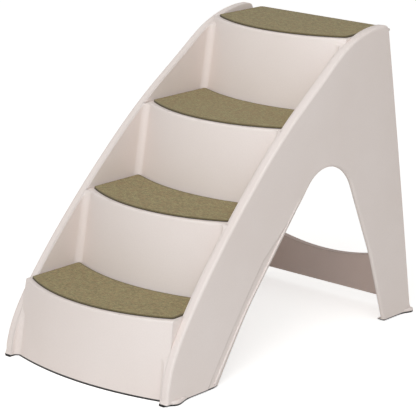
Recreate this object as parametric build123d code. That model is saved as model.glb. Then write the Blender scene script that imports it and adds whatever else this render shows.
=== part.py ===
from build123d import *
import math
import os

# Pet stairs with four carpeted treads between two leaning side panels.
# Millimetres. +Z is up, the first step faces -Y, and the origin is on the floor
# under the middle of the stairs.

# Overall size; the panel length runs from the front toe tip to the rear toe tip
panel_length = 799.0
overall_height = 622.0
floor_width = 428.0
side_lean_angle = 2.44

# Steps; levels are shares of the overall height and runs are shares of the panel length
step_count = 4
first_level_share = 0.2471
rise_share = 0.2428
nose_setback_share = 0.0539
lower_run_share = 0.2109
top_run_share = 0.2459
top_tread_rear_share = 0.9174
riser_slope_share = 0.0263
nose_sagitta = 51.0
foot_sagitta = 41.0
first_foot_sagitta = 31.0
step_wall = 3.0
nose_radius = 3.6
corner_radius = 12.0
tread_lap = 14.0
rear_corner_radius = 14.0
seam_gap = 0.3
hanger_height = 45.0
riser_return_depth = 22.0
rear_skirt_height = 58.0
skirt_inset = 1.0
under_rib_height = 18.0
under_rib_thickness = 2.6
under_rib_spacing = 92.0

# Side panels
panel_skin = 3.4
rim_depth = 16.2
rim_wall = 3.2
rim_edge_radius = 5.0
arch_return_depth = 7.0
arch_return_wall = 6.0
bead_step = 1.6
bead_inner_width = 5.0
panel_rib_thickness = 2.6
panel_rib_depth = 6.0
toe_curve_radius = 24.0

# Outline of a side panel, as shares of the overall length and height,
# counted from the tip of the front toe and from the floor
rail_shares = [
    (0.0081, 0.0294),
    (0.0247, 0.1105),
    (0.0822, 0.2339),
    (0.1618, 0.3608),
    (0.3290, 0.5857),
    (0.4960, 0.7706),
    (0.6125, 0.8756),
    (0.6984, 0.9505),
    (0.7701, 0.9865),
    (0.8611, 0.9994),
]
rear_top_shares = (0.8773, 0.9791)
rear_middle_shares = (0.9247, 0.5466)
rear_bottom_shares = (0.9762, 0.0322)
arch_shares = [
    (0.1790, 0.0000),
    (0.3030, 0.2058),
    (0.6559, 0.6963),
    (0.8008, 0.2479),
    (0.8632, 0.0000),
]
arch_foot_radius = 800.0
arch_crown_radius = 84.0
arch_heel_radius = 420.0
bead_shares = [
    (0.1467, 0.0000),
    (0.2285, 0.1399),
    (0.2966, 0.2489),
    (0.3635, 0.3505),
    (0.5244, 0.5129),
]

# Feet
pad_height = 2.0
pad_inset = 1.0
toe_bulge = 5.0
front_toe_length = 82.0
rear_toe_length = 64.0
toe_lip_height = 7.0
toe_lip_chamfer = 2.4
toe_lip_setback = 1.0

# Rear crossbar
bar_bottom_height = 27.0
bar_middle_height = 100.0
bar_end_height = 137.0
bar_wall = 3.0
bar_flange_depth = 15.0
bar_rim_setback = 24.0

# Tread mats and their fastening strips
mat_thickness = 4.0
mat_clearance = 0.3
mat_side_gap = 4.2
mat_front_gap = 8.5
mat_front_corner = 4.0
mat_back_corner = 9.0
strip_length = 190.0
strip_width = 25.0
strip_thickness = 1.2
strip_edge_distance = 36.0

# Fasteners
screw_shank = 3.8
screw_hole_clearance = 0.2
screw_length = 13.0
screw_head = 8.4
screw_head_height = 2.6
driver_recess = 2.4
driver_depth = 1.2
boss_diameter = 11.0
screw_drop = 26.0
screw_front_inset = 46.0
screw_rear_inset = 24.0

overrun = 5.0
curve_spans = 9

# Worked-out places
lean_slope = math.tan(math.radians(side_lean_angle))
lean_stretch = 1 / math.cos(math.radians(side_lean_angle))
first_nose_setback = nose_setback_share * panel_length
riser_slope_back = riser_slope_share * panel_length
nose_overhang = nose_sagitta - first_nose_setback
foot_overhang = first_foot_sagitta - first_nose_setback + riser_slope_back
front_overhang = max(0, nose_overhang, foot_overhang)
front_toe = (front_overhang + pad_inset - panel_length) / 2
rear_toe = front_toe + panel_length
side_depth = rim_depth + step_wall
pilot_diameter = screw_shank + screw_hole_clearance


def tread_top(step):
    return (first_level_share + step * rise_share) * overall_height


def riser_bottom(step):
    return tread_top(step - 1) if step > 0 else pad_height


def nose_corner_y(step):
    run_share = lower_run_share * min(step, step_count - 2)
    if step == step_count - 1:
        run_share += top_run_share
    return front_toe + first_nose_setback + run_share * panel_length


def foot_corner_y(step):
    return nose_corner_y(step) - riser_slope_back


def tread_back_y(step):
    if step == step_count - 1:
        return front_toe + top_tread_rear_share * panel_length
    return foot_corner_y(step + 1) + tread_lap


def side_wall_back_y(step):
    """Rear end of a step's side wall, short of the rear corners of its tread."""
    return tread_back_y(step) - (rear_corner_radius if step == step_count - 1 else 2 * step_wall)


def riser_foot_sagitta(step):
    return first_foot_sagitta if step == 0 else foot_sagitta


def tread_back_sagitta(step):
    return 0.0 if step == step_count - 1 else foot_sagitta


def half_width(height, depth):
    """Half width of the stairs at a height, this deep inside the outer faces."""
    return floor_width / 2 - depth * lean_stretch - height * lean_slope


def side_plane(depth):
    """Plane along the right panel, this deep inside its outer face."""
    lean = math.radians(side_lean_angle)
    outer = Plane(origin=(floor_width / 2, 0, 0), x_dir=(0, 1, 0), z_dir=(math.cos(lean), 0, math.sin(lean)))
    return outer.offset(-depth)


def outline_point(shares):
    return (front_toe + shares[0] * panel_length, shares[1] * overall_height * lean_stretch)


def mirrored(shape):
    return mirror(shape, about=Plane.YZ)


def arc_through(start, end, sagitta):
    """Arc between two points on one level whose middle lies forward by the sagitta."""
    if sagitta == 0:
        return Line(start, end)
    middle = ((start[0] + end[0]) / 2, (start[1] + end[1]) / 2 - sagitta)
    return ThreePointArc(start, middle, end)


def arch_face():
    """Opening between the two legs, in the plane of a side panel."""
    corners = [outline_point(shares) for shares in arch_shares]
    start = (corners[0][0], -2 * overrun)
    end = (corners[-1][0], -2 * overrun)
    radii = [arch_foot_radius, arch_crown_radius, arch_heel_radius]
    side = FilletPolyline(start, corners[1], corners[2], corners[3], end, radius=radii)
    return make_face(Curve() + [side, Line(end, start)])


def silhouette_face():
    """Side panel outline without its arch, in the plane of the panel."""
    rail_points = [outline_point(shares) for shares in rail_shares]
    toe = (front_toe, 0)
    toe_heel = (rear_toe, 0)
    rear_top = outline_point(rear_top_shares)
    rear_middle = outline_point(rear_middle_shares)
    rear_bottom = outline_point(rear_bottom_shares)
    front_curve = RadiusArc(toe, rail_points[0], -toe_curve_radius)
    rail = Spline(rail_points)
    rail_end = rail_points[-1]
    rear = ThreePointArc(rear_top, rear_middle, rear_bottom)
    top_corner = TangentArc(rear_top, rail_end, tangent=-(rear % 0))
    heel_curve = RadiusArc(rear_bottom, toe_heel, -toe_curve_radius)
    base = Polyline(toe_heel, (rear_toe, -overrun), (front_toe, -overrun), toe)
    return make_face(Curve() + [front_curve, rail, top_corner, rear, heel_curve, base])


def inset_face(face, amount):
    """Face drawn in by an amount, with its offset curves redrawn as splines."""
    edges = []
    for edge in offset(face, amount=-amount).edges():
        if edge.geom_type == GeomType.OFFSET:
            points = [edge @ (index / curve_spans) for index in range(curve_spans + 1)]
            edge = Spline(points, tangents=[edge % 0, edge % 1])
        edges.append(edge)
    return make_face(Curve() + edges)


def prism(face, depth_from, depth_to):
    """Solid on the right panel's plane between two depths inside its outer face."""
    return extrude(side_plane(depth_from) * face, amount=depth_from - depth_to)


def slab(low, high):
    """Block across the whole stairs between two heights."""
    size = 2 * panel_length
    return Pos(0, 0, (low + high) / 2) * Box(size, size, high - low)


def screw_places(step):
    """Places of a step's screws on one side, in the plane of the side panel."""
    height = (tread_top(step) - screw_drop) * lean_stretch
    back = min(tread_back_y(step), rear_edge_y(height))
    return [
        (nose_corner_y(step) + screw_front_inset, height),
        (back - screw_rear_inset, height),
    ]


def rear_edge_y(height):
    """Where the straight line under the rear edge lies at a height."""
    top = outline_point(rear_middle_shares)
    bottom = outline_point(rear_bottom_shares)
    return bottom[0] + (height - bottom[1]) * (top[0] - bottom[0]) / (top[1] - bottom[1])


def bar_face_y(height):
    return rear_edge_y(height) - bar_rim_setback


def bar_screw_places():
    low = bar_bottom_height + screw_head * 2
    high = bar_end_height - screw_head * 2
    return [(bar_face_y(height) + bar_flange_depth / 2, height * lean_stretch) for height in (low, high)]


def all_screw_places():
    places = bar_screw_places()
    for step in range(step_count):
        places += screw_places(step)
    return places


def toe_bulge_face(toe_y, inward_y):
    """Plan of the swelling at the outside of a toe, on the +X side."""
    outer = floor_width / 2
    end = outer - toe_bulge / 2
    middle = (toe_y + inward_y) / 2
    curve = Spline((outer - toe_bulge, toe_y), (outer + toe_bulge, (toe_y + middle) / 2), (end, inward_y),
                   tangents=[(0, inward_y - toe_y), (0, inward_y - toe_y)])
    back = Polyline((end, inward_y), (outer - side_depth, inward_y), (outer - side_depth, toe_y),
                    (outer - toe_bulge, toe_y))
    return make_face(Curve() + [curve, back])


def toe_lips():
    """Outward swelling of the front and rear toes, with its upper edge bevelled."""
    lips = []
    inside = inset_face(silhouette_face(), toe_lip_setback)
    for toe_y, length in ((front_toe, front_toe_length), (rear_toe, -rear_toe_length)):
        plan = Pos(0, 0, pad_height - overrun) * toe_bulge_face(toe_y, toe_y + length)
        lip = extrude(plan, amount=toe_lip_height + overrun)
        edges = lip.edges().group_by(Axis.Z)[-1].sort_by(Axis.X)[-1:]
        lip = chamfer(edges, toe_lip_chamfer)
        lip &= prism(inside, -2 * overrun, panel_skin / 2)
        lips.append(lip)
    return lips


def side_panel():
    """Right side panel: a leaning shell open towards the steps, with a deep rolled rim."""
    silhouette = silhouette_face()
    arch = arch_face()
    panel = prism(silhouette - arch, 0, rim_depth)
    panel = fillet(rim_edges(panel), rim_edge_radius)
    pocket = inset_face(silhouette, rim_wall) - floor_band()
    arch_wall = offset(arch, amount=arch_return_wall)
    panel -= prism(pocket - arch_wall, panel_skin, rim_depth + overrun)
    arch_opening = arch_wall & pocket
    panel -= prism(arch_opening, arch_return_depth, rim_depth + overrun)
    panel -= bead_cut()
    panel += panel_ribs(silhouette, arch)
    for place in all_screw_places():
        panel += prism(Pos(*place) * Circle(boss_diameter / 2), panel_skin / 2, rim_depth)
    for place in all_screw_places():
        panel -= prism(Pos(*place) * Circle(pilot_diameter / 2), panel_skin, rim_depth + overrun)
    for lip in toe_lips():
        panel += lip
    return panel & slab(pad_height, 2 * overall_height)


def floor_band():
    """Strip at the floor that the closed bottoms of the feet fill."""
    height = pad_height + rim_wall
    return Pos(0, height / 2 - overrun) * Rectangle(2 * panel_length, height + 2 * overrun)


def rim_edges(panel):
    """Edges round the outer face, without those at the floor."""
    face = panel.faces().filter_by(side_plane(0)).sort_by(Axis.X)[-1]
    return [edge for edge in face.edges() if edge.center().Z > pad_height + rim_edge_radius]


def bead_cut():
    """Two shallow steps along the rear edge of the front leg, dying out towards the crown."""
    arch = arch_face()
    outer_line = [outline_point(shares) for shares in bead_shares]
    inner_point = (outline_point(arch_shares[2])[0], -overrun)
    start = (outer_line[0][0], -overrun)
    band = make_face(Polyline(start, *outer_line, inner_point, start))
    narrow = offset(arch, amount=bead_inner_width) & band
    wide = band - offset(arch, amount=-overrun)
    return prism(wide, -overrun, bead_step) + prism(narrow, -overrun, 2 * bead_step)


def panel_ribs(silhouette, arch):
    """Stiffening ribs on the hidden side, level with the treads."""
    room = inset_face(silhouette, rim_wall / 2) - offset(arch, amount=arch_return_wall / 2)
    ribs = []
    for step in range(step_count):
        height = (tread_top(step) - screw_drop) * lean_stretch
        strip = Pos(0, height) * Rectangle(2 * panel_length, panel_rib_thickness)
        ribs.append(prism(strip & room, panel_skin / 2, panel_skin + panel_rib_depth))
    return ribs


def plan_wall(height, corner_y, sagitta, half):
    """Plan of a bowed riser wall at a height."""
    radius = (half**2 + sagitta**2) / (2 * sagitta)
    centre_y = corner_y - sagitta + radius
    back_radius = radius - step_wall
    back_y = centre_y - math.sqrt(back_radius**2 - half**2)
    front = ThreePointArc((-half, corner_y), (0, corner_y - sagitta), (half, corner_y))
    back = ThreePointArc((half, back_y), (0, corner_y - sagitta + step_wall), (-half, back_y))
    sides = [Line((half, corner_y), (half, back_y)), Line((-half, back_y), (-half, corner_y))]
    return Pos(0, 0, height) * make_face(Curve() + [front, sides[0], back, sides[1]])


def riser_wall(step):
    low = riser_bottom(step)
    high = tread_top(step)
    bottom = plan_wall(low, foot_corner_y(step), riser_foot_sagitta(step), half_width(low, rim_depth))
    top = plan_wall(high, nose_corner_y(step), nose_sagitta, half_width(high, rim_depth))
    return loft([bottom, top], ruled=True)


def corner_filler(height, corner_y, sagitta, half):
    """Plan of the concave round between a side wall and a riser, on the +X side."""
    radius = (half**2 + sagitta**2) / (2 * sagitta)
    turn = math.asin(half / radius)
    opening = math.pi / 2 - turn
    reach = corner_radius / math.tan(opening / 2)
    bury = step_wall / 2
    corner = (half, corner_y)
    on_side = (half, corner_y - reach)
    on_riser = (half - reach * math.cos(turn), corner_y - reach * math.sin(turn))
    centre = (half - corner_radius, corner_y - reach)
    far = math.hypot(corner_radius, reach)
    middle = (centre[0] + corner_radius**2 / far, centre[1] + corner_radius * reach / far)
    round_arc = ThreePointArc(on_side, middle, on_riser)
    back = Polyline(
        on_riser,
        (on_riser[0] + bury * math.sin(turn), on_riser[1] + bury * math.cos(turn)),
        (corner[0], corner[1] + bury),
        (corner[0] + bury, corner[1] + bury),
        (corner[0] + bury, on_side[1]),
        on_side,
    )
    return Pos(0, 0, height) * make_face(Curve() + [round_arc, back])


def corner_round(step):
    low = riser_bottom(step)
    high = tread_top(step)
    bottom = corner_filler(low, foot_corner_y(step), riser_foot_sagitta(step), half_width(low, side_depth))
    top = corner_filler(high, nose_corner_y(step), nose_sagitta, half_width(high, side_depth))
    return loft([bottom, top], ruled=True)


def side_wall_face(step):
    """Outline of a step's side wall: cheek, return behind the riser and hanger."""
    silhouette = silhouette_face()
    low = riser_bottom(step) * lean_stretch - overrun
    high = tread_top(step) * lean_stretch + overrun
    nose = nose_corner_y(step) + step_wall / 2
    foot = foot_corner_y(step) + step_wall / 2
    back = side_wall_back_y(step)
    cheek = make_face(Polyline((front_toe - overrun, low), (foot, low), (nose, high),
                               (front_toe - overrun, high), (front_toe - overrun, low)))
    reach = riser_return_depth
    behind = make_face(Polyline((foot, low), (foot + reach, low), (nose + reach, high), (nose, high),
                                (foot, low)))
    hanger = make_face(Polyline((nose, high), (back, high), (back, high - hanger_height),
                                (nose, high - hanger_height), (nose, high)))
    return (cheek & silhouette) + behind + hanger


def lip_face(step):
    """Outline of the low wall that stands beside the top tread."""
    level = tread_top(step) * lean_stretch - step_wall
    front = nose_corner_y(step) + 2 * nose_radius
    block = make_face(Polyline((front, level), (front, 2 * level), (rear_toe, 2 * level), (rear_toe, level),
                               (front, level)))
    rear = outline_point(rear_top_shares)
    crest = outline_point(rail_shares[-1])
    back = side_wall_back_y(step)
    tail = make_face(Polyline((crest[0], level), (back, level), (back, rear[1]), (crest[0], rear[1]),
                              (crest[0], level)))
    corner = tail.vertices().sort_by(Axis.X)[-2:].sort_by(Axis.Y)[-1]
    return (block & silhouette_face()) + fillet(corner, nose_radius)


def tread_outline(step, height, inset):
    half = half_width(height, rim_depth) - inset
    front = nose_corner_y(step)
    back = tread_back_y(step) - inset
    front_arc = arc_through((-half, front), (half, front), nose_sagitta)
    back_arc = arc_through((half, back), (-half, back), tread_back_sagitta(step))
    sides = [Line((half, front), (half, back)), Line((-half, back), (-half, front))]
    face = make_face(Curve() + [front_arc, sides[0], back_arc, sides[1]])
    if step == step_count - 1:
        face = fillet(face.vertices().group_by(Axis.Y)[-1], rear_corner_radius)
    return Pos(0, 0, height) * face


def tread_plate(step):
    top = tread_top(step)
    faces = [tread_outline(step, height, 0) for height in (top - step_wall, top)]
    return loft(faces, ruled=True)


def under_ribs(step):
    """Ribs under a tread from the riser to its rear edge, and the turned-down rear edge."""
    top = tread_top(step)
    front = nose_corner_y(step)
    back = tread_back_y(step)
    centre_z = top - step_wall / 2 - under_rib_height / 2
    length = back - front + nose_sagitta
    bars = []
    for place in (-1, 0, 1):
        bar = Box(under_rib_thickness, length, under_rib_height + step_wall)
        bars.append(Pos(place * under_rib_spacing, back - length / 2, centre_z) * bar)
    half = half_width(top - under_rib_height, rim_depth) - step_wall / 2
    if step == step_count - 1:
        half -= rear_corner_radius
    sagitta = tread_back_sagitta(step)
    back -= skirt_inset
    outer = arc_through((-half, back), (half, back), sagitta)
    inner = arc_through((half, back - step_wall), (-half, back - step_wall), sagitta)
    ends = [Line((half, back), (half, back - step_wall)), Line((-half, back - step_wall), (-half, back))]
    edge_face = Pos(0, 0, top) * make_face(Curve() + [outer, ends[0], inner, ends[1]])
    height = rear_skirt_height if step == step_count - 1 else under_rib_height
    bars.append(extrude(edge_face, amount=-height))
    return bars


def behind_riser(step):
    """Room behind the front face of a riser, under its tread."""
    low = riser_bottom(step)
    high = tread_top(step)
    faces = []
    levels = (
        (low, foot_corner_y(step), riser_foot_sagitta(step)),
        (high, nose_corner_y(step), nose_sagitta),
    )
    for height, corner, sagitta in levels:
        half = half_width(height, rim_depth)
        front = arc_through((-half, corner), (half, corner), sagitta)
        far = tread_back_y(step) + overrun
        rest = Polyline((half, corner), (half, far), (-half, far), (-half, corner))
        faces.append(Pos(0, 0, height) * make_face(Curve() + [front, rest]))
    return loft(faces, ruled=True)


def step_moulding(step):
    """One step: bowed riser, tread with its nose, side walls and hidden hangers."""
    body = tread_plate(step) + riser_wall(step)
    nose_edges = body.edges().filter_by(GeomType.CIRCLE).group_by(Axis.Z)[-1].sort_by(Axis.Y)
    body = fillet(nose_edges[0], nose_radius)
    ribs = [bar & behind_riser(step) for bar in under_ribs(step)]
    rear_flange = ribs.pop()
    for rib in ribs:
        body += trim_to_tread(rib, step)
    body += rear_flange
    wall = prism(side_wall_face(step), rim_depth, side_depth)
    wall &= slab(riser_bottom(step), tread_top(step) - seam_gap)
    if step == step_count - 1:
        wall += prism(lip_face(step), rim_depth, side_depth)
    cheek_zone = prism(silhouette_face(), 0, 2 * side_depth + corner_radius * 2)
    filler = corner_round(step) & cheek_zone & slab(riser_bottom(step), tread_top(step) - nose_radius / 3)
    for piece in (wall, filler):
        body += piece
        body += mirrored(piece)
    for place in screw_places(step):
        hole = prism(Pos(*place) * Circle(pilot_diameter / 2 + screw_hole_clearance), rim_depth - overrun,
                     side_depth + overrun)
        body -= hole
        body -= mirrored(hole)
    for strip in strip_solids(step, strip_thickness):
        body -= strip
    return body


def trim_to_tread(rib, step):
    top = tread_top(step)
    faces = [tread_outline(step, height, step_wall / 2) for height in (top - rear_skirt_height, top)]
    return rib & loft(faces, ruled=True)


def strip_solids(step, thickness):
    """Fastening strips let into the top of a tread."""
    half = strip_length / 2
    front_middle = nose_corner_y(step) - nose_sagitta + strip_edge_distance
    back_middle = tread_back_y(step) - tread_back_sagitta(step) - strip_edge_distance
    if step < step_count - 1:
        back_middle -= tread_lap
    top = tread_top(step)
    strips = []
    for middle in (front_middle, back_middle):
        block = Box(2 * half, strip_width, thickness)
        strips.append(Pos(0, middle, top - thickness / 2) * block)
    return strips


def tread_mat(step):
    """Carpet pad lying on a tread, with rounded corners."""
    low = tread_top(step) + mat_clearance
    half = half_width(low + mat_thickness, side_depth) - mat_side_gap
    front = nose_corner_y(step) + mat_front_gap
    last = step == step_count - 1
    back = tread_back_y(step) - mat_side_gap * 2
    if not last:
        back = foot_corner_y(step + 1) - mat_side_gap
    front_arc = arc_through((-half, front), (half, front), nose_sagitta)
    back_arc = arc_through((half, back), (-half, back), tread_back_sagitta(step))
    face = make_face(Curve() + [front_arc, Line((half, front), (half, back)), back_arc,
                                Line((-half, back), (-half, front))])
    corners = face.vertices().group_by(Axis.Y)
    face = fillet(corners[-1], rear_corner_radius - mat_side_gap if last else mat_back_corner)
    corners = face.vertices().sort_by(Axis.Y)
    front_corners = [vertex for vertex in corners if abs(vertex.Y - front) < mat_clearance]
    face = fillet(front_corners, mat_front_corner)
    return extrude(Pos(0, 0, low) * face, amount=mat_thickness)


def crossbar():
    """Bar between the rear legs, dipping in the middle, with its flanges to the rear."""
    def bar_plan(height, half_inset, depth):
        half = half_width(height, rim_depth) - half_inset
        front = bar_face_y(height)
        return Pos(0, 0, height) * make_face(Polyline((-half, front), (half, front), (half, front + depth),
                                                      (-half, front + depth), (-half, front)))
    low, high = bar_bottom_height, bar_end_height
    full = loft([bar_plan(low, 0, bar_flange_depth), bar_plan(high, 0, bar_flange_depth)], ruled=True)
    half = half_width(high, rim_depth)
    dip = Curve() + [arc_through((-half, high), (half, high), high - bar_middle_height),
                     Polyline((half, high), (half, 2 * high), (-half, 2 * high), (-half, high))]
    wide = floor_width / 2
    under = high - bar_wall
    hollow_dip = Curve() + [arc_through((-half, under), (half, under), high - bar_middle_height),
                            Polyline((half, under), (wide, under), (wide, low + bar_wall),
                                     (-wide, low + bar_wall), (-wide, under), (-half, under))]
    front_plane = Plane(origin=(0, panel_length, 0), x_dir=(1, 0, 0), z_dir=(0, -1, 0))
    bar = full - extrude(front_plane * make_face(dip), amount=2 * panel_length)
    hollow = extrude(front_plane * make_face(hollow_dip), amount=2 * panel_length)
    room = loft([bar_plan(low, bar_wall, bar_flange_depth + overrun),
                 bar_plan(high, bar_wall, bar_flange_depth + overrun)], ruled=True)
    room = Pos(0, bar_wall, 0) * room
    bar -= hollow & room
    for place in bar_screw_places():
        hole = prism(Pos(*place) * Circle(pilot_diameter / 2 + screw_hole_clearance), 0, side_depth + overrun)
        bar -= hole
        bar -= mirrored(hole)
    return bar


def screw(place, seat_depth):
    """Round-headed screw driven outwards into a boss of the right panel."""
    shank = prism(Pos(*place) * Circle(screw_shank / 2), seat_depth - screw_length, seat_depth)
    head = prism(Pos(*place) * Circle(screw_head / 2), seat_depth, seat_depth + screw_head_height)
    rim = head.faces().sort_by(Axis.X)[0].edges()
    head = fillet(rim, screw_head_height / 2)
    recess = Rectangle(driver_recess, driver_recess / 3) + Rectangle(driver_recess / 3, driver_recess)
    slot = prism(Pos(*place) * recess, seat_depth + screw_head_height - driver_depth,
                 seat_depth + screw_head_height + overrun)
    return shank + head - slot


def foot_pad(front_y, back_y, toe_y, length):
    """Rubber pad under one foot, following its swollen toe."""
    outer = floor_width / 2 - toe_bulge / 2
    inner = floor_width / 2 - side_depth
    plan = Pos((outer + inner) / 2, (front_y + back_y) / 2) * Rectangle(outer - inner, back_y - front_y)
    plan = (plan - corner_square(toe_y, length)) + toe_bulge_face(toe_y, toe_y + length)
    return extrude(inset_face(plan, pad_inset), amount=pad_height)


def corner_square(toe_y, length):
    size = abs(length)
    centre_y = toe_y + length / 2
    return Pos(floor_width / 2, centre_y) * Rectangle(4 * side_depth, size)


def edge_strip():
    """Rubber edging under the first riser."""
    half = half_width(pad_height, side_depth) - mat_clearance
    face = plan_wall(0, foot_corner_y(0), riser_foot_sagitta(0), half)
    return extrude(face, amount=pad_height)


def group(solids):
    return Compound(children=[solid for solid in solids])


def write(shape, node):
    export_step(shape, f"parts/{node}.step")


def build():
    os.makedirs("parts", exist_ok=True)
    names = ("bottom", "second", "third", "top")
    panel = side_panel()
    write(panel, "right_side_panel")
    write(mirrored(panel), "left_side_panel")
    for step, name in enumerate(names):
        write(step_moulding(step), f"{name}_step")
        write(tread_mat(step), f"{name}_tread_mat")
        write(group(strip_solids(step, strip_thickness)), f"{name}_mat_strips")
        screws = [screw(place, side_depth) for place in screw_places(step)]
        screws += [mirrored(one) for one in screws]
        write(group(screws), f"{name}_step_screws")
    write(crossbar(), "rear_crossbar")
    screws = [screw(place, rim_depth + bar_wall) for place in bar_screw_places()]
    screws += [mirrored(one) for one in screws]
    write(group(screws), "rear_crossbar_screws")
    arch_foot = outline_point(arch_shares[0])[0]
    arch_heel = outline_point(arch_shares[-1])[0]
    front_pad = foot_pad(front_toe, arch_foot, front_toe, front_toe_length)
    rear_pad = foot_pad(arch_heel, rear_toe, rear_toe, -rear_toe_length)
    write(front_pad, "front_right_foot_pad")
    write(mirrored(front_pad), "front_left_foot_pad")
    write(rear_pad, "rear_right_foot_pad")
    write(mirrored(rear_pad), "rear_left_foot_pad")
    write(edge_strip(), "front_edge_strip")


build()
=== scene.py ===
import math

import bmesh
import bpy
from mathutils import Matrix, Vector, noise


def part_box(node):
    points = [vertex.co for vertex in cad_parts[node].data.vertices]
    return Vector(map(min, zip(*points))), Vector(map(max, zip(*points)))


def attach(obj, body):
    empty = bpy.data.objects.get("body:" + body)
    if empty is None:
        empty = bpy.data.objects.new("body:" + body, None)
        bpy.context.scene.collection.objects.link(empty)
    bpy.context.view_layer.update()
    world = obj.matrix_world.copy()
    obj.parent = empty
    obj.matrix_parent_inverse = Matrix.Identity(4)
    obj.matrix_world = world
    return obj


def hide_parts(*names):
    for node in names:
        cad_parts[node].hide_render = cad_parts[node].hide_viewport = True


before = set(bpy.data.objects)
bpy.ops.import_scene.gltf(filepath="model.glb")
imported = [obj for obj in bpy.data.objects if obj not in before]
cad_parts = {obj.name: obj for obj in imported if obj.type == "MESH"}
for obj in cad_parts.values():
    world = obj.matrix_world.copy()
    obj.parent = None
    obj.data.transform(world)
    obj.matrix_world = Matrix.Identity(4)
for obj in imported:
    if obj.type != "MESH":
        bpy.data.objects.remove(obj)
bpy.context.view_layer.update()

# Lengths are in millimetres, and MM turns them into the frame's metres, unless a comment says otherwise
MM = 0.001
STEP_NAMES = ("bottom", "second", "third", "top")
WHITE = (1.0, 1.0, 1.0, 1.0)

# Rounding of the mouldings' edges in their material, in metres
EDGE_ROUND = 0.0032
EDGE_ROUND_SAMPLES = 8

# Darker band along the mouldings' lowest edge: its top, and how softly it ends
LOW_BAND_TOP = 4.0
LOW_BAND_FADE = 0.3
LOW_BAND_TONE = (48, 46, 45)

# Camera: orbit angles in degrees, distances in metres, lens and sensor in millimetres
ORBIT = 40.126
RISE = 15.597
ROLL = 1.038
DISTANCE = 4.2943
LOOK_AT = Vector((0.0, 0.0206, 0.2659))
SLIDE_RIGHT = -0.0327
LENS = 184.23
SENSOR = 36.0
FARTHEST_SEEN = 100.0

# Mats as in the CAD: level of the underside, half width, front corners and back corners along Y,
# bow of the back edge, radius of the back corners
MATS = {
    "bottom": (154.00, 183.85, -342.96, -208.16, 41.0, 9.0),
    "second": (305.02, 177.41, -174.45, -39.65, 41.0, 9.0),
    "third": (456.04, 170.98, -5.94, 156.82, 41.0, 9.0),
    "top": (607.06, 164.54, 190.53, 330.08, 0.0, 9.8),
}
FRONT_BOW = 51.0
FRONT_CORNER = 4.0
MAT_THICKNESS = 4.0
BACKING_THICKNESS = 1.4
PILE_INSET = 0.5
PILE_OVERLAP = 0.3
PILE_CELL = 2.2
BACKING_CELL = PILE_CELL * 3
SMALLEST_CORNER = 1.0
CORNER_STEPS = 6
AREA_STRIPS = 400
MAT_SHARP_ANGLE = 40

# Rolled edge of a mat: its radius on the pile and on the backing, the share of it lost in height,
# and the rows of points that follow it
PILE_ROLL = 1.6
BACKING_ROLL = 0.4
ROLL_SHARE = 0.8
EDGE_ROWS = (0.0, 0.25, 0.7, 1.3, 2.0)

# Unevenness of the pile, and fraying of its outermost points
PILE_RELIEF = 0.16
RELIEF_SIZE = 5
RELIEF_ROUGHNESS = 0.7
RELIEF_LACUNARITY = 2.0
RELIEF_OCTAVES = 3
EDGE_FRAY = 0.22
FRAY_SIZE = 2.4
FRAY_LEVEL = 7
FRAY_REACH = 0.3

# Darkening of a mat's edge: the cut edge is darker in itself, and the band widens at the back and at the
# sides as painted shade where the mat meets the riser and the side walls. Its width at the front, how much
# wider it is at the back and at the sides, its tone, and the point attribute that carries it to the material
CUT_EDGE_AND_SHADE_WIDTH = 1.8
BACK_SHADE_FACTOR = 3.5
SIDE_SHADE_FACTOR = 2.0
CUT_EDGE_AND_SHADE_TONE = (108, 98, 72)
EDGE_AND_SHADE_SHARE = "cut_edge_and_shade"


def linear(red, green, blue):
    """Linear colour of an 8-bit screen colour."""
    out = []
    for value in (red, green, blue):
        share = value / 255
        out.append(share / 12.92 if share <= 0.04045 else ((share + 0.055) / 1.055) ** 2.4)
    return (*out, 1.0)


# Sockets of a colour mix
MIX_SHARE = 0
MIX_FIRST = 6
MIX_SECOND = 7
MIX_RESULT = 2

# Materials: noise scales are per metre, relief distances in metres
MIDDLE = (0.3, 0.7)
FULL = (0.0, 1.0)
SMOOTHEST_SHARE = 0.88
ROUGHEST_SHARE = 1.1


def material(name):
    made = bpy.data.materials.new(name)
    made.use_nodes = True
    return made, made.node_tree.nodes, made.node_tree.links, made.node_tree.nodes["Principled BSDF"]


def noise_node(nodes, links, place, scale, detail=2.0, rough=0.5):
    node = nodes.new("ShaderNodeTexNoise")
    node.inputs["Scale"].default_value = scale
    node.inputs["Detail"].default_value = detail
    node.inputs["Roughness"].default_value = rough
    links.new(place, node.inputs["Vector"])
    return node.outputs["Fac"]


def spread(nodes, links, value, source, target):
    """Value carried from the source range to the target range, and kept within it."""
    node = nodes.new("ShaderNodeMapRange")
    for index, number in enumerate((*source, *target)):
        node.inputs[index + 1].default_value = number
    links.new(value, node.inputs["Value"])
    return node.outputs["Result"]


def blend_colours(nodes, links, share, first, second):
    node = nodes.new("ShaderNodeMix")
    node.data_type = "RGBA"
    links.new(share, node.inputs[MIX_SHARE])
    for socket, colour in ((node.inputs[MIX_FIRST], first), (node.inputs[MIX_SECOND], second)):
        if isinstance(colour, tuple):
            socket.default_value = colour
        else:
            links.new(colour, socket)
    return node.outputs[MIX_RESULT]


def bump(nodes, links, height, strength, distance, under=None):
    node = nodes.new("ShaderNodeBump")
    node.inputs["Strength"].default_value = strength
    node.inputs["Distance"].default_value = distance
    links.new(height, node.inputs["Height"])
    if under is not None:
        links.new(under, node.inputs["Normal"])
    return node.outputs["Normal"]


def soft_edges(nodes):
    """Normal that rounds the edges of a moulding."""
    node = nodes.new("ShaderNodeBevel")
    node.samples = EDGE_ROUND_SAMPLES
    node.inputs["Radius"].default_value = EDGE_ROUND
    return node.outputs["Normal"]


def clamped_sum(nodes, links, first, second):
    node = nodes.new("ShaderNodeMath")
    node.operation = "ADD"
    node.use_clamp = True
    links.new(first, node.inputs[0])
    links.new(second, node.inputs[1])
    return node.outputs[0]


def own_place(nodes):
    return nodes.new("ShaderNodeTexCoord").outputs["Object"]


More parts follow.
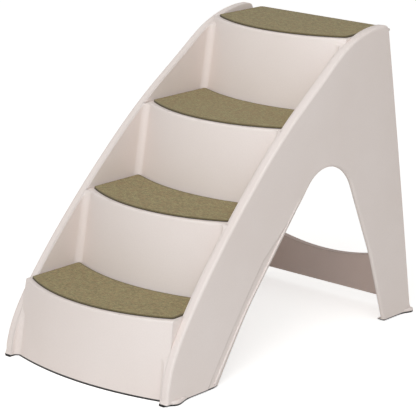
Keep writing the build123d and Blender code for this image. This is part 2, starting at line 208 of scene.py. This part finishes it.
def stretched(nodes, links, place, scale):
    node = nodes.new("ShaderNodeMapping")
    node.inputs["Scale"].default_value = scale
    links.new(place, node.inputs["Vector"])
    return node.outputs["Vector"]


def low_band_tint(nodes, links, place, tone):
    """Darker band along the lowest edge of a moulding."""
    parts = nodes.new("ShaderNodeSeparateXYZ")
    links.new(place, parts.inputs["Vector"])
    fade = ((LOW_BAND_TOP - LOW_BAND_FADE) * MM, LOW_BAND_TOP * MM)
    low = spread(nodes, links, parts.outputs["Z"], fade, (1.0, 0.0))
    return blend_colours(nodes, links, low, tone, linear(*LOW_BAND_TONE))


def shell_plastic(name, tone_a, tone_b, fleck_tone):
    """Moulded plastic with a fine grain, a faintly uneven tone, soft edges and a darker band along its lowest
    edge.
    """
    made, nodes, links, shader = material(name)
    place = own_place(nodes)
    clouds = noise_node(nodes, links, place, scale=5.0, detail=3.0)
    tone = blend_colours(nodes, links, spread(nodes, links, clouds, MIDDLE, FULL),
                         linear(*tone_a), linear(*tone_b))
    flecks = noise_node(nodes, links, place, scale=420.0)
    tone = blend_colours(nodes, links, spread(nodes, links, flecks, (0.35, 0.65), (0.0, 0.10)),
                         tone, linear(*fleck_tone))
    links.new(low_band_tint(nodes, links, place, tone), shader.inputs["Base Color"])
    dulling = noise_node(nodes, links, place, scale=60.0, detail=4.0)
    links.new(spread(nodes, links, dulling, MIDDLE, (0.40, 0.52)), shader.inputs["Roughness"])
    fine = noise_node(nodes, links, place, scale=900.0, detail=3.0)
    grain = bump(nodes, links, fine, strength=0.22, distance=0.0004, under=soft_edges(nodes))
    slow = noise_node(nodes, links, place, scale=14.0, detail=1.0)
    wave = bump(nodes, links, slow, strength=0.10, distance=0.002, under=grain)
    links.new(wave, shader.inputs["Normal"])
    shader.inputs["Specular IOR Level"].default_value = 0.42
    return made


def carpet_pile():
    """Heathered needle felt: olive and brown fibres, tufted in fine rows, darker at its cut edge, with
    painted shade widening that band along its back and sides.
    """
    made, nodes, links, shader = material("carpet_pile_look")
    place = own_place(nodes)
    fibre_place = stretched(nodes, links, place, (1.0, 1.7, 1.0))
    fibres = noise_node(nodes, links, fibre_place, scale=620.0, detail=5.0, rough=0.65)
    heather_place = stretched(nodes, links, place, (1.0, 2.2, 1.0))
    heather = noise_node(nodes, links, heather_place, scale=150.0, detail=3.0, rough=0.6)
    patches = noise_node(nodes, links, place, scale=95.0, detail=4.0, rough=0.6)
    tone = blend_colours(nodes, links, spread(nodes, links, fibres, (0.34, 0.66), FULL),
                         linear(108, 97, 60), linear(196, 183, 131))
    tone = blend_colours(nodes, links, spread(nodes, links, patches, (0.40, 0.60), (0.0, 0.60)),
                         tone, linear(154, 125, 86))
    tone = blend_colours(nodes, links, spread(nodes, links, heather, (0.36, 0.60), (0.55, 0.0)),
                         tone, linear(90, 83, 48))
    # Darker cut edge, with painted shade along the back and sides where the mat meets the riser and the side
    # walls
    edge = nodes.new("ShaderNodeAttribute")
    edge.attribute_name = EDGE_AND_SHADE_SHARE
    tone = blend_colours(nodes, links, edge.outputs["Fac"], tone, linear(*CUT_EDGE_AND_SHADE_TONE))
    links.new(tone, shader.inputs["Base Color"])
    tufts = nodes.new("ShaderNodeTexVoronoi")
    tufts.inputs["Scale"].default_value = 640.0
    links.new(place, tufts.inputs["Vector"])
    tuft_rows = nodes.new("ShaderNodeTexWave")
    tuft_rows.bands_direction = "Y"
    tuft_rows.inputs["Scale"].default_value = 70.0
    tuft_rows.inputs["Distortion"].default_value = 3.0
    tuft_rows.inputs["Detail"].default_value = 2.0
    tuft_rows.inputs["Detail Scale"].default_value = 6.0
    links.new(place, tuft_rows.inputs["Vector"])
    normal = bump(nodes, links, tufts.outputs["Distance"], strength=0.55, distance=0.0007)
    normal = bump(nodes, links, tuft_rows.outputs["Fac"], strength=0.25, distance=0.0005, under=normal)
    normal = bump(nodes, links, fibres, strength=0.6, distance=0.0006, under=normal)
    links.new(normal, shader.inputs["Normal"])
    shader.inputs["Roughness"].default_value = 0.95
    shader.inputs["Specular IOR Level"].default_value = 0.2
    shader.inputs["Sheen Weight"].default_value = 0.12
    shader.inputs["Sheen Roughness"].default_value = 0.6
    return made


def speckled(name, dark, light, scale, roughness, strength, distance, metallic=0.0, stretch=(1.0, 1.0, 1.0)):
    """Two tones mixed by a fine noise that also gives the relief."""
    made, nodes, links, shader = material(name)
    place = stretched(nodes, links, own_place(nodes), stretch)
    grain = noise_node(nodes, links, place, scale, detail=4.0, rough=0.6)
    tone = blend_colours(nodes, links, spread(nodes, links, grain, MIDDLE, FULL),
                         linear(*dark), linear(*light))
    links.new(tone, shader.inputs["Base Color"])
    rough_range = (roughness * SMOOTHEST_SHARE, min(1.0, roughness * ROUGHEST_SHARE))
    links.new(spread(nodes, links, grain, MIDDLE, rough_range), shader.inputs["Roughness"])
    links.new(bump(nodes, links, grain, strength, distance), shader.inputs["Normal"])
    shader.inputs["Metallic"].default_value = metallic
    return made


plastic = shell_plastic("shell_plastic_look", (233, 221, 214), (237, 226, 220), (214, 201, 194))
# The crossbar's darker, warmer copy of the shell plastic is painted shade of its place under the stairs
shaded_bar_plastic = shell_plastic("crossbar_painted_shade_look", (212, 191, 180), (219, 199, 189), (188, 167, 155))
pile_look = carpet_pile()
backing_look = speckled("carpet_backing_look", (62, 54, 40), (84, 74, 56), scale=380.0,
                        roughness=0.9, strength=0.4, distance=0.0004)
rubber = speckled("foot_rubber_look", (26, 25, 24), (38, 36, 35), scale=500.0,
                  roughness=0.75, strength=0.3, distance=0.0003)
tape_look = speckled("fastening_tape_look", (84, 77, 60), (108, 99, 80), scale=700.0,
                     roughness=0.85, strength=0.4, distance=0.0003, stretch=(0.4, 2.0, 1.0))
hook_look = speckled("fastening_hooks_look", (104, 96, 78), (128, 120, 100), scale=900.0,
                     roughness=0.5, strength=0.2, distance=0.0002)
steel = speckled("screw_steel_look", (150, 150, 150), (184, 184, 182), scale=900.0,
                 roughness=0.34, strength=0.15, distance=0.0001, metallic=1.0, stretch=(1.0, 0.2, 1.0))

# Looks of the CAD nodes that stay visible, by the end of their names
LOOKS = {"side_panel": plastic, "_step": plastic, "crossbar": shaded_bar_plastic, "foot_pad": rubber,
         "edge_strip": rubber, "screws": steel}


def dress(node):
    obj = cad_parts[node]
    look = plastic
    for ending, candidate in LOOKS.items():
        if node.endswith(ending):
            look = candidate
    if not obj.material_slots:
        obj.data.materials.append(look)
    for slot in obj.material_slots:
        slot.material = look


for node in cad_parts:
    if not node.endswith(("tread_mat", "mat_strips")):
        dress(node)


# Mats

def arc_drop(x, half, bow):
    """How far behind its middle a bowed edge lies at x."""
    if bow == 0:
        return 0.0
    radius = (half**2 + bow**2) / (2 * bow)
    return radius - math.sqrt(radius**2 - x**2)


def rounding(x, half, radius):
    """How far a rounded corner cuts the edge back at x."""
    past = abs(x) - (half - radius)
    if past <= 0:
        return 0.0
    return radius - math.sqrt(max(0.0, radius**2 - past**2))


def columns(half, radius, cell):
    """Positions across a mat, closer together in its rounded corners."""
    inner = half - radius
    count = max(2, round(2 * inner / cell))
    middle = [-inner + 2 * inner * index / count for index in range(count + 1)]
    turn = [inner + radius * math.sin(math.pi / 2 * index / CORNER_STEPS)
            for index in range(1, CORNER_STEPS + 1)]
    return [-x for x in reversed(turn)] + middle + turn


def rows(front, back, count):
    """Positions from front to back at one column, closer together at the edges."""
    reach = EDGE_ROWS[-1]
    far = back - front
    inside = [reach + (far - 2 * reach) * index / count for index in range(1, count)]
    return [front + step for step in [*EDGE_ROWS, *inside, *(far - step for step in reversed(EDGE_ROWS))]]


def drawn_in(radius, inset):
    return max(SMALLEST_CORNER, radius - inset)


def mat_edges(spec, inset, x):
    """Front and back edge of a mat at x, drawn in by the inset."""
    half, front, back, back_bow, back_radius = spec[1:]
    half -= inset
    front_cut = rounding(x, half, drawn_in(FRONT_CORNER, inset))
    back_cut = rounding(x, half, drawn_in(back_radius, inset))
    return (front - FRONT_BOW + arc_drop(x, half, FRONT_BOW) + inset + front_cut,
            back - back_bow + arc_drop(x, half, back_bow) - inset - back_cut)


def pile_lift(x, y, base, lost):
    """Unevenness of the pile, which lies a little lower away from its edges."""
    place = Vector((x / RELIEF_SIZE, y / RELIEF_SIZE, base))
    relief = noise.fractal(place, RELIEF_ROUGHNESS, RELIEF_LACUNARITY, RELIEF_OCTAVES)
    return PILE_RELIEF * relief - PILE_RELIEF * (1 - lost)


def fraying(x, y, base):
    """How far an outermost point of the pile is drawn inwards."""
    return abs(EDGE_FRAY * noise.noise(Vector((x / FRAY_SIZE, y / FRAY_SIZE, base + FRAY_LEVEL))))


def mat_mesh(name, spec, inset, low, high, cell, soft):
    """Closed slab with the plan of a mat, its upper face rolled over at the edges."""
    base, half, front, back = spec[:4]
    half -= inset
    corner = max(drawn_in(FRONT_CORNER, inset), drawn_in(spec[-1], inset))
    count = max(2, round((back - front) / cell))
    roll = PILE_ROLL if soft else BACKING_ROLL
    grid = bmesh.new()
    top = []
    edge_shares = []
    for x in columns(half, corner, cell):
        x_front, x_back = mat_edges(spec, inset, x)
        from_side = half - abs(x)
        column = []
        for y in rows(x_front, x_back, count):
            edge = min(y - x_front, x_back - y, from_side)
            lost = min(1.0, max(0.0, 1 - edge / roll))
            drop = roll * (1 - math.sqrt(1 - lost**2)) * ROLL_SHARE
            lift = pile_lift(x, y, base, lost) if soft else 0.0
            fray = fraying(x, y, base) if soft and edge < FRAY_REACH else 0.0
            inward = 1 if y - x_front < x_back - y else -1
            place = Vector((x, y + fray * inward, high - drop + lift))
            column.append(grid.verts.new(place * MM))
            # Share of the dark edge: the cut edge at the front, widened at the back and sides as painted
            # shade
            dark_edge = min(y - x_front, (x_back - y) / BACK_SHADE_FACTOR, from_side / SIDE_SHADE_FACTOR)
            edge_shares.append(max(0.0, 1 - dark_edge / CUT_EDGE_AND_SHADE_WIDTH))
        top.append(column)
    for left, right in zip(top, top[1:]):
        for index in range(len(left) - 1):
            grid.faces.new((left[index], right[index], right[index + 1], left[index + 1]))
    ring = [column[0] for column in top] + top[-1][1:]
    ring += [column[-1] for column in reversed(top[:-1])] + list(reversed(top[0][1:-1]))
    under = [grid.verts.new((vert.co.x, vert.co.y, low * MM)) for vert in ring]
    edge_shares += [1.0] * len(under)
    for index in range(len(ring)):
        after = (index + 1) % len(ring)
        grid.faces.new((ring[index], under[index], under[after], ring[after]))
    grid.faces.new(list(reversed(under)))
    bmesh.ops.recalc_face_normals(grid, faces=grid.faces)
    mesh = bpy.data.meshes.new(name)
    grid.to_mesh(mesh)
    grid.free()
    mesh.attributes.new(EDGE_AND_SHADE_SHARE, "FLOAT", "POINT").data.foreach_set("value", edge_shares)
    mesh.shade_smooth()
    made = bpy.data.objects.new(name, mesh)
    bpy.context.scene.collection.objects.link(made)
    return made


def flat_area(spec):
    """Area of a mat's cut, in square metres."""
    half = spec[1]
    total = 0.0
    for index in range(AREA_STRIPS):
        x = -half + 2 * half * (index + 0.5) / AREA_STRIPS
        x_front, x_back = mat_edges(spec, 0.0, x)
        total += (x_back - x_front) * 2 * half / AREA_STRIPS
    return total * MM * MM


def smooth_by_angle(obj, degrees):
    obj.data.set_sharp_from_angle(angle=math.radians(degrees))


for step in STEP_NAMES:
    spec = MATS[step]
    low = spec[0]
    pile = mat_mesh(f"{step}_carpet_pile", spec, PILE_INSET, low + BACKING_THICKNESS - PILE_OVERLAP,
                    low + MAT_THICKNESS, PILE_CELL, True)
    pile.data.materials.append(pile_look)
    backing = mat_mesh(f"{step}_carpet_backing", spec, 0.0, low, low + BACKING_THICKNESS, BACKING_CELL, False)
    backing.data.materials.append(backing_look)
    for piece in (pile, backing):
        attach(piece, f"{step}_mat")
        smooth_by_angle(piece, MAT_SHARP_ANGLE)
    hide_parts(f"{step}_tread_mat")
    flat_area(spec)


# Fastening strips under the mats: tapes let into the treads, with rows of hooks

TAPE_DROP = 0.4
TAPE_WIDTH = 25.0
TAPE_MARGIN = 1.2
TAPE_INSET = 0.2
TAPE_CORNER = 3.0
HOOK_PITCH = 2.6
HOOK_SIZE = 0.55
HOOK_WAIST = 0.55
HOOK_RISE = 0.5
HOOK_SINK = 0.02
HOOK_SIDES = 5


def link_mesh(name, places, faces, look):
    """New object from points in millimetres."""
    mesh = bpy.data.meshes.new(name)
    mesh.from_pydata([Vector(place) * MM for place in places], [], faces)
    mesh.materials.append(look)
    made = bpy.data.objects.new(name, mesh)
    bpy.context.scene.collection.objects.link(made)
    return made


def add_prism(faces, start, count):
    """Faces of a closed prism whose lower and upper rings of points follow each other."""
    faces.append([start + index for index in reversed(range(count))])
    faces.append([start + count + index for index in range(count)])
    for index in range(count):
        after = (index + 1) % count
        faces.append((start + index, start + after, start + count + after, start + count + index))


def add_tape(places, faces, x_half, y_low, y_high, z_low, z_high):
    """Flat tape with rounded ends, added to lists of points and faces."""
    start = len(places)
    outline = []
    for corner_x, corner_y, turn in ((1, -1, -90), (1, 1, 0), (-1, 1, 90), (-1, -1, 180)):
        for index in range(CORNER_STEPS):
            angle = math.radians(turn + 90 * index / (CORNER_STEPS - 1))
            y_edge = y_high - TAPE_CORNER if corner_y > 0 else y_low + TAPE_CORNER
            outline.append((corner_x * (x_half - TAPE_CORNER) + TAPE_CORNER * math.cos(angle),
                            y_edge + TAPE_CORNER * math.sin(angle)))
    places += [(x, y, z_low) for x, y in outline] + [(x, y, z_high) for x, y in outline]
    add_prism(faces, start, len(outline))


def add_hook(places, faces, x, y, z_low):
    """Small mushroom-headed hook, wider at its top, added to lists of points and faces."""
    start = len(places)
    ring = [math.radians(360 * index / HOOK_SIDES) for index in range(HOOK_SIDES)]
    for radius, z in ((HOOK_SIZE * HOOK_WAIST, z_low), (HOOK_SIZE, z_low + HOOK_RISE)):
        places += [(x + radius * math.cos(angle), y + radius * math.sin(angle), z) for angle in ring]
    add_prism(faces, start, HOOK_SIDES)


def tape_and_hooks(step):
    """Two tapes let into a tread, with staggered rows of hooks."""
    box_low, box_high = (Vector(corner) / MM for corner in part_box(f"{step}_mat_strips"))
    tape, hooks = ([], []), ([], [])
    top = box_high.z - TAPE_DROP
    x_half = box_high.x - TAPE_INSET
    length = 2 * (x_half - TAPE_MARGIN)
    width = TAPE_WIDTH - 2 * (TAPE_INSET + TAPE_MARGIN)
    for start in (box_low.y, box_high.y - TAPE_WIDTH):
        add_tape(*tape, x_half, start + TAPE_INSET, start + TAPE_WIDTH - TAPE_INSET, box_low.z, top)
        for row in range(int(width / HOOK_PITCH) + 1):
            y = start + TAPE_INSET + TAPE_MARGIN + row * HOOK_PITCH
            for index in range(int(length / HOOK_PITCH) + 1):
                x = -length / 2 + (index + 0.5 * (row % 2)) * HOOK_PITCH
                if x <= length / 2:
                    add_hook(*hooks, x, y, top - HOOK_SINK)
    tapes = link_mesh(f"{step}_hook_tape", *tape, tape_look)
    hook_field = link_mesh(f"{step}_hook_field", *hooks, hook_look)
    for piece in (tapes, hook_field):
        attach(piece, "stairs")
    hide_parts(f"{step}_mat_strips")


for step in STEP_NAMES:
    tape_and_hooks(step)


# Raised bead along the front side of each arch. The panel's sizes, and the corners of its arch in shares
# of its length and height, are as in the CAD.
HALF_FLOOR_WIDTH = 214.0
SIDE_LEAN = math.radians(2.44)
OVERALL_HEIGHT = 622.0
ARCH_SHARES = ((0.1790, 0.0), (0.3030, 0.2058), (0.6559, 0.6963), (0.8008, 0.2479))
ARCH_FOOT_RADIUS = 800.0
ARCH_CROWN_RADIUS = 84.0
BEAD_SETBACK = 7.8
BEAD_HALF_WIDTH = 1.6
BEAD_ROOT = 2.4
BEAD_PROUD = 1.3
BEAD_FADE = 45.0
BEAD_TURN_STEPS = 8
BEAD_ROUND_STEPS = 6
BEAD_SHARP_ANGLE = 50


def bead_line(node):
    """Points of a bead's line in the plane of its panel, outward directions, and how deep it sinks."""
    box_low, box_high = (Vector(corner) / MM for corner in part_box(node))
    length = box_high.y - box_low.y
    height = OVERALL_HEIGHT / math.cos(SIDE_LEAN)
    foot, knee, crown, heel = (Vector((box_low.y + along * length, up * height)) for along, up in ARCH_SHARES)
    rise = (knee - foot).normalized()
    run = (crown - knee).normalized()
    fall = (heel - crown).normalized()
    turn = rise.angle(run)
    outward = Vector((-rise.y, rise.x))
    centre = knee - rise * ARCH_FOOT_RADIUS * math.tan(turn / 2) - outward * ARCH_FOOT_RADIUS
    line = [(foot + rise * LOW_BAND_TOP / rise.y, outward, 0.0)]
    for index in range(BEAD_TURN_STEPS + 1):
        facing = Matrix.Rotation(-turn * index / BEAD_TURN_STEPS, 2) @ outward
        line.append((centre + facing * ARCH_FOOT_RADIUS, facing, 0.0))
    stop = crown - run * ARCH_CROWN_RADIUS * math.tan(run.angle(fall) / 2)
    line += [(stop - run * BEAD_FADE, facing, 0.0), (stop, facing, 2 * BEAD_PROUD)]
    return line


def bead_profile():
    """Section of a bead: places across it and depths inside the panel's outer face."""
    profile = [(-BEAD_HALF_WIDTH, BEAD_ROOT)]
    for index in range(BEAD_ROUND_STEPS + 1):
        angle = math.pi * index / BEAD_ROUND_STEPS
        profile.append((-BEAD_HALF_WIDTH * math.cos(angle), BEAD_PROUD - 2 * BEAD_PROUD * math.sin(angle)))
    profile.append((BEAD_HALF_WIDTH, BEAD_ROOT))
    return profile


def arch_bead(side_name, side):
    """Bead of one side panel, where side is 1 for the panel at positive X and -1 for the other."""
    profile = bead_profile()
    places, faces = [], []
    for point, outward, sink in bead_line(f"{side_name}_side_panel"):
        for across, depth in profile:
            y, up = point + outward * (BEAD_SETBACK + across)
            inside = depth + sink
            x = HALF_FLOOR_WIDTH - up * math.sin(SIDE_LEAN) - inside * math.cos(SIDE_LEAN)
            places.append((side * x, y, up * math.cos(SIDE_LEAN) - inside * math.sin(SIDE_LEAN)))
    count = len(profile)
    last = len(places) - count
    for start in range(0, last, count):
        for index in range(count):
            after = (index + 1) % count
            face = (start + index, start + after, start + count + after, start + count + index)
            faces.append(face[::side])
    faces.append(tuple(range(count))[::-side])
    faces.append(tuple(range(last, last + count))[::side])
    bead = link_mesh(f"{side_name}_arch_bead", places, faces, plastic)
    bead.data.shade_smooth()
    smooth_by_angle(bead, BEAD_SHARP_ANGLE)
    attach(bead, "stairs")


arch_bead("right", 1)
arch_bead("left", -1)


# Floor, light and camera. The floor reaches this many metres each way.
FLOOR_REACH = 12.0
FLOOR_TONE = (0.78, 0.76, 0.735, 1.0)
FLOOR_ROUGHNESS = 0.9
FLOOR_GLOW = 0.60
SKY_LIGHT = 0.505

# Lamps: name, place, aim and diameter in metres, power in watts, colour
LAMPS = (
    ("key", (1.2, -5.8, 3.2), (0, 0, 0.3), 4.2, 85, (1.0, 1.0, 1.0)),
    ("side", (1.5, -2.1, 0.75), (0, -0.1, 0.25), 1.2, 7, (0.82, 1.0, 1.18)),
    ("top", (0.9, -0.9, 2.1), (-0.1, 0.1, 0.5), 1.4, 13, (1.0, 1.0, 1.0)),
)


def white_floor():
    """Pale floor that keeps shadows and shows as white to the camera and in gloss."""
    made, nodes, links, shader = material("floor_look")
    shader.inputs["Base Color"].default_value = FLOOR_TONE
    shader.inputs["Roughness"].default_value = FLOOR_ROUGHNESS
    shader.inputs["Specular IOR Level"].default_value = 0.0
    path = nodes.new("ShaderNodeLightPath").outputs
    mirrored = clamped_sum(nodes, links, path["Is Glossy Ray"], path["Is Transmission Ray"])
    seen = clamped_sum(nodes, links, path["Is Camera Ray"], mirrored)
    glow = nodes.new("ShaderNodeMath")
    glow.operation = "MULTIPLY"
    links.new(seen, glow.inputs[0])
    glow.inputs[1].default_value = FLOOR_GLOW
    shader.inputs["Emission Color"].default_value = WHITE
    links.new(glow.outputs[0], shader.inputs["Emission Strength"])
    return made


def floor():
    mesh = bpy.data.meshes.new("floor")
    corners = [(-FLOOR_REACH, -FLOOR_REACH, 0), (FLOOR_REACH, -FLOOR_REACH, 0),
               (FLOOR_REACH, FLOOR_REACH, 0), (-FLOOR_REACH, FLOOR_REACH, 0)]
    mesh.from_pydata(corners, [], [(0, 1, 2, 3)])
    mesh.materials.append(white_floor())
    made = bpy.data.objects.new("floor", mesh)
    bpy.context.scene.collection.objects.link(made)


def white_background(nodes, strength):
    node = nodes.new("ShaderNodeBackground")
    node.inputs["Color"].default_value = WHITE
    node.inputs["Strength"].default_value = strength
    return node.outputs[0]


def sky():
    """Even white light on the stairs, behind a background that the camera sees as white."""
    world = bpy.data.worlds.new("studio")
    bpy.context.scene.world = world
    world.use_nodes = True
    nodes, links = world.node_tree.nodes, world.node_tree.links
    nodes.clear()
    path = nodes.new("ShaderNodeLightPath").outputs
    seen = clamped_sum(nodes, links, path["Is Camera Ray"], path["Is Transmission Ray"])
    mix = nodes.new("ShaderNodeMixShader")
    links.new(seen, mix.inputs[0])
    links.new(white_background(nodes, SKY_LIGHT), mix.inputs[1])
    links.new(white_background(nodes, 1.0), mix.inputs[2])
    out = nodes.new("ShaderNodeOutputWorld")
    links.new(mix.outputs[0], out.inputs["Surface"])


def lamp(name, place, aim, size, power, colour):
    data = bpy.data.lights.new(name, "AREA")
    data.shape = "DISK"
    data.size = size
    data.energy = power
    data.color = colour
    made = bpy.data.objects.new(name, data)
    made.location = place
    made.rotation_mode = "QUATERNION"
    made.rotation_quaternion = (Vector(aim) - Vector(place)).to_track_quat("-Z", "Y")
    bpy.context.scene.collection.objects.link(made)


def camera():
    around, rise, roll = (math.radians(angle) for angle in (ORBIT, RISE, ROLL))
    back = Vector((math.sin(around) * math.cos(rise), -math.cos(around) * math.cos(rise), math.sin(rise)))
    level = Vector((math.cos(around), math.sin(around), 0))
    upright = back.cross(level)
    right = math.cos(roll) * level + math.sin(roll) * upright
    up = -math.sin(roll) * level + math.cos(roll) * upright
    data = bpy.data.cameras.new("camera")
    data.lens = LENS
    data.sensor_width = SENSOR
    data.clip_end = FARTHEST_SEEN
    made = bpy.data.objects.new("camera", data)
    bpy.context.scene.collection.objects.link(made)
    place = LOOK_AT + back * DISTANCE + right * SLIDE_RIGHT
    turn = Matrix((right, up, back)).transposed().to_4x4()
    made.matrix_world = Matrix.Translation(place) @ turn
    bpy.context.scene.camera = made


floor()
sky()
for lamp_values in LAMPS:
    lamp(*lamp_values)
camera()
bpy.context.scene.view_settings.view_transform = "Standard"
